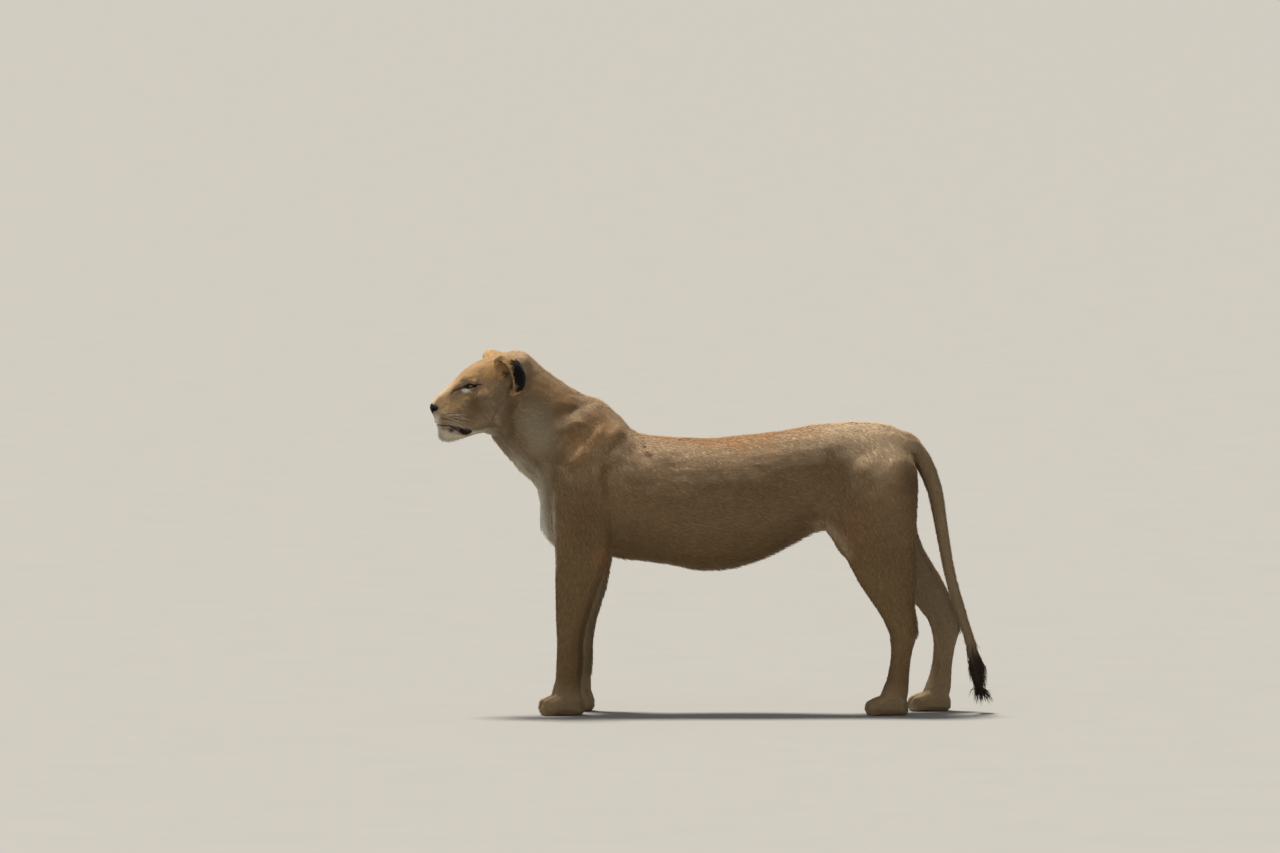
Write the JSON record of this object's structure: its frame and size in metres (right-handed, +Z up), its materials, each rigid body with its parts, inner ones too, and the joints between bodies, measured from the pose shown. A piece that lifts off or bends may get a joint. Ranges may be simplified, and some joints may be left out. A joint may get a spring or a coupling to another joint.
{
  "type": "lioness",
  "caption": "Life-size standing lioness, head level and turned slightly to its left, tail hanging, paws flat on the floor; a still display model with no moving parts.",
  "frame": {"origin": "on the floor, under the middle of the animal's bounding box", "axes": "the animal faces -X, its left side is towards -Y, +Z is up"},
  "size_m": [1.7202, 0.3204, 1.1227],
  "materials": {
    "coat": "short flat tawny fur, matt with a soft sheen",
    "pale_coat": "short cream fur, matt",
    "ear_coat": "short fur, black on the back of the ear and yellowish hair in the cup, matt",
    "dark_tuft": "longer blackish-brown hair, matt",
    "nose_leather": "black pebbled skin, slightly moist",
    "eye": "amber, wet and glossy"
  },
  "bodies": {
    "root": {"head": "coat", "jaw": "pale_coat", "nose": "nose_leather", "eye_left": "eye", "eye_right": "eye", "ear_left": "ear_coat", "ear_right": "ear_coat", "neck": "coat", "chest": "coat", "loin": "coat", "rump": "coat", "foreleg_left_upper": "coat", "foreleg_left_lower": "coat", "forepaw_left": "coat", "foreleg_right_upper": "coat", "foreleg_right_lower": "coat", "forepaw_right": "coat", "hindleg_left_thigh": "coat", "hindleg_left_shank": "coat", "hindleg_left_foot": "coat", "hindpaw_left": "coat", "hindleg_right_thigh": "coat", "hindleg_right_shank": "coat", "hindleg_right_foot": "coat", "hindpaw_right": "coat", "tail_root": "coat", "tail_middle": "coat", "tail_end": "coat", "tail_tuft": "dark_tuft"}
  },
  "joints": []
}
